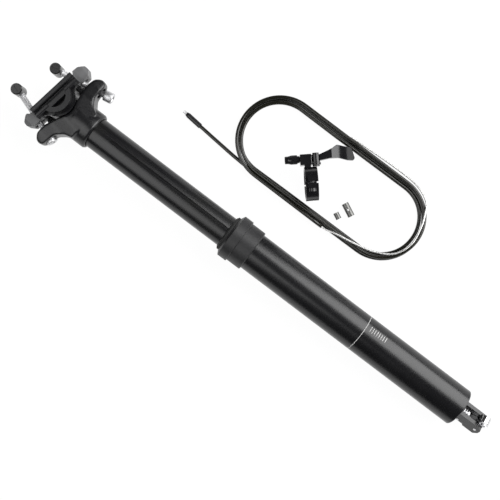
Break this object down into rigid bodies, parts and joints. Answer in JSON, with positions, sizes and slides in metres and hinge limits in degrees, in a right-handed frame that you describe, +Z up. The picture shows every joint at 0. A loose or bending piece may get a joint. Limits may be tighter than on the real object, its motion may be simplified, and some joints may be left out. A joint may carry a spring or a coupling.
{
  "type": "dropper seatpost",
  "caption": "Dropper seatpost with a sliding stanchion, tilting two-bolt saddle clamp, foot release lever, handlebar remote lever and coiled release cable.",
  "frame": {"origin": "on the post's axis, where the exposed lower tube meets its collar", "axes": "+X up the post's axis to the saddle, +Y to the saddle's rear, +Z up from the bench that the set lies on"},
  "size_m": [0.4507, 0.156, 0.054],
  "materials": {
    "black_alloy": "satin black anodised",
    "grey_alloy": "satin grey anodised",
    "bright_steel": "bright",
    "chrome_steel": "polished",
    "black_steel": "black oxide",
    "bushing_brass": "plain",
    "seal_rubber": "matte",
    "housing_plastic": "gloss"
  },
  "bodies": {
    "lower_post": {"outer_tube": "black_alloy", "collar": "black_alloy", "wiper_seal": "seal_rubber", "upper_bushing": "bushing_brass", "guide_keys": "bushing_brass", "piston_rod": "chrome_steel", "piston": "bushing_brass", "release_clevis": "black_alloy", "lever_pin": "bright_steel", "stop_pin": "bright_steel", "stem_spring": "bright_steel", "remote_perch": "black_alloy", "bar_strap": "black_alloy", "strap_screws": "bright_steel", "pivot_bolt": "bright_steel", "housing_coil": "housing_plastic", "housing_tail": "housing_plastic", "housing_ferrule": "black_alloy", "inner_cable": "bright_steel", "cable_head": "bright_steel", "anchor_barrel": "bright_steel", "grub_screw": "bright_steel"},
    "upper_post": {"stanchion": "black_alloy", "lower_bushing": "bushing_brass", "head_yoke": "black_alloy", "front_bolt": "bright_steel", "rear_bolt": "bright_steel", "front_barrel_nut": "black_steel", "rear_barrel_nut": "black_steel", "cartridge_tube": "bright_steel", "cartridge_gland": "bushing_brass", "cartridge_cap": "black_alloy"},
    "saddle_cradle": {"lower_cradle": "black_alloy"},
    "saddle_cap": {"upper_clamp": "grey_alloy"},
    "foot_lever": {"release_lever": "chrome_steel"},
    "valve": {"valve_stem": "bright_steel"},
    "bar_lever": {"thumb_lever": "black_alloy", "pivot_bushing": "bushing_brass"},
    "adjuster": {"barrel_adjuster": "black_alloy"}
  },
  "joints": [
    {"name": "post_slide", "type": "slide", "parent": "lower_post", "child": "upper_post", "axis": [1, 0, 0], "range_m": [-0.125, 0]},
    {"name": "saddle_tilt", "type": "hinge", "parent": "upper_post", "child": "saddle_cradle", "pos_m": [0.1895, -0.0035, 0], "axis": [0, 0, 1], "range_deg": [-8, 8]},
    {"name": "clamp_lift", "type": "slide", "parent": "saddle_cradle", "child": "saddle_cap", "axis": [0.9848, -0.1736, 0], "range_m": [0, 0.003]},
    {"name": "foot_lever_turn", "type": "hinge", "parent": "lower_post", "child": "foot_lever", "pos_m": [-0.2205, 0.0005, -0.00087], "axis": [0, -0.866, -0.5], "range_deg": [0, 20], "stiffness_Nm_per_rad": 0.005, "springref_deg": -20.05},
    {"name": "valve_push", "type": "slide", "parent": "lower_post", "child": "valve", "axis": [1, 0, 0], "range_m": [0, 0.00059], "deforming": ["stem_spring"]},
    {"name": "bar_lever_press", "type": "hinge", "parent": "lower_post", "child": "bar_lever", "pos_m": [0.00446, -0.08782, -0.00355], "axis": [-0.6557, 0.7547, 0.0201], "range_deg": [0, 25]},
    {"name": "adjuster_turn", "type": "hinge", "parent": "lower_post", "child": "adjuster", "pos_m": [0.01381, -0.07968, -0.00384], "axis": [-0.7544, -0.6561, 0.0232], "range_deg": [-180, 180]}
  ],
  "couplings": [
    {"joint": "foot_lever_turn", "follows": "valve_push", "rad_per_m": 588.24}
  ]
}
